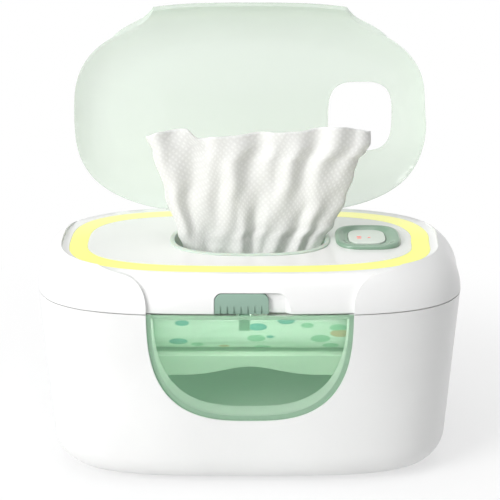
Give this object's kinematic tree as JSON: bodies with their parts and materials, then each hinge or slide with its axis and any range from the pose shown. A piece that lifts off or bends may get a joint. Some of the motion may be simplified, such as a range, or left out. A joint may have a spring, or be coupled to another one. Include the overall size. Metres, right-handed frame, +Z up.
{
  "type": "wipe warmer",
  "caption": "Wipe warmer: moulded box with a front window, sprung lifter tray and heater, hinged top cover with a glowing ring, slide latch and button, and a clear flip lid.",
  "frame": {"origin": "on the table plane, under the middle of the bounding box with the flip lid open, which is 6.58 mm behind the middle of the body", "axes": "+X to the right seen from the front, -Y to the front where the window and latch are, +Y to the hinges at the back, +Z up"},
  "size_m": [0.2405, 0.1592, 0.2506],
  "materials": {
    "body_white": "satin gloss",
    "tub_white": "gloss",
    "base_white": "matte",
    "tray_white": "satin",
    "liner_white": "matte",
    "deck_white": "satin gloss",
    "window_green": "clear tinted plastic",
    "lid_clear": "clear tinted plastic",
    "slider_green": "satin",
    "collar_green": "satin gloss",
    "bezel_green": "satin gloss",
    "button_pale": "satin gloss",
    "ring_glow": "lit diffuser",
    "pack_film": "printed film",
    "wipe_fabric": "soft nonwoven",
    "spring_steel": "brushed",
    "plate_aluminium": "brushed",
    "film_orange": "film",
    "component_grey": "satin",
    "component_black": "matte",
    "board_green": "solder mask",
    "inlet_black": "matte",
    "foot_rubber": "matte",
    "screw_steel": "bright",
    "pin_steel": "bright",
    "seal_silicone": "matte"
  },
  "bodies": {
    "base": {"lower_body": "body_white", "window_panel": "window_green", "inner_tub": "tub_white", "lifter_spring_front": "spring_steel", "lifter_spring_rear": "spring_steel", "heating_plate": "plate_aluminium", "heater_film": "film_orange", "thermal_cutoff": "component_grey", "temperature_sensor": "component_black", "power_board": "board_green", "dc_inlet": "inlet_black", "base_cover": "base_white", "rubber_foot_1": "foot_rubber", "rubber_foot_2": "foot_rubber", "rubber_foot_3": "foot_rubber", "rubber_foot_4": "foot_rubber", "base_screws": "screw_steel", "cover_hinge_pin": "pin_steel"},
    "top": {"top_cover": "body_white", "lid_hinge_pins": "pin_steel", "light_ring": "ring_glow", "deck_plate": "deck_white", "dispensing_collar": "collar_green", "control_bezel": "bezel_green", "display_board": "board_green", "led_board": "board_green", "top_liner": "liner_white", "seal_gasket": "seal_silicone", "liner_screws": "screw_steel", "wipe_sheet": "wipe_fabric"},
    "lid": {"flip_lid": "lid_clear"},
    "latch": {"latch_slider": "slider_green"},
    "button": {"control_button": "button_pale"},
    "tray": {"lifter_tray": "tray_white", "wipe_pack": "pack_film"}
  },
  "joints": [
    {"name": "cover_hinge", "type": "hinge", "parent": "base", "child": "top", "pos_m": [0, 0.07102, 0.107], "axis": [-1, 0, 0], "range_deg": [0, 80]},
    {"name": "lid_hinge", "type": "hinge", "parent": "top", "child": "lid", "pos_m": [0, 0.05492, 0.12], "axis": [1, 0, 0], "range_deg": [0, 95.5], "deforming": ["wipe_sheet"]},
    {"name": "latch_slide", "type": "slide", "parent": "top", "child": "latch", "axis": [1, 0, 0], "range_m": [0, 0.009]},
    {"name": "control_press", "type": "slide", "parent": "top", "child": "button", "axis": [0, 0, -1], "range_m": [0, 0.001], "stiffness_N_per_m": 800, "springref_m": -0.0005},
    {"name": "lifter_slide", "type": "slide", "parent": "base", "child": "tray", "axis": [0, 0, 1], "range_m": [-0.022, 0], "stiffness_N_per_m": 300, "springref_m": 0.03, "deforming": ["lifter_spring_front", "lifter_spring_rear"]}
  ]
}
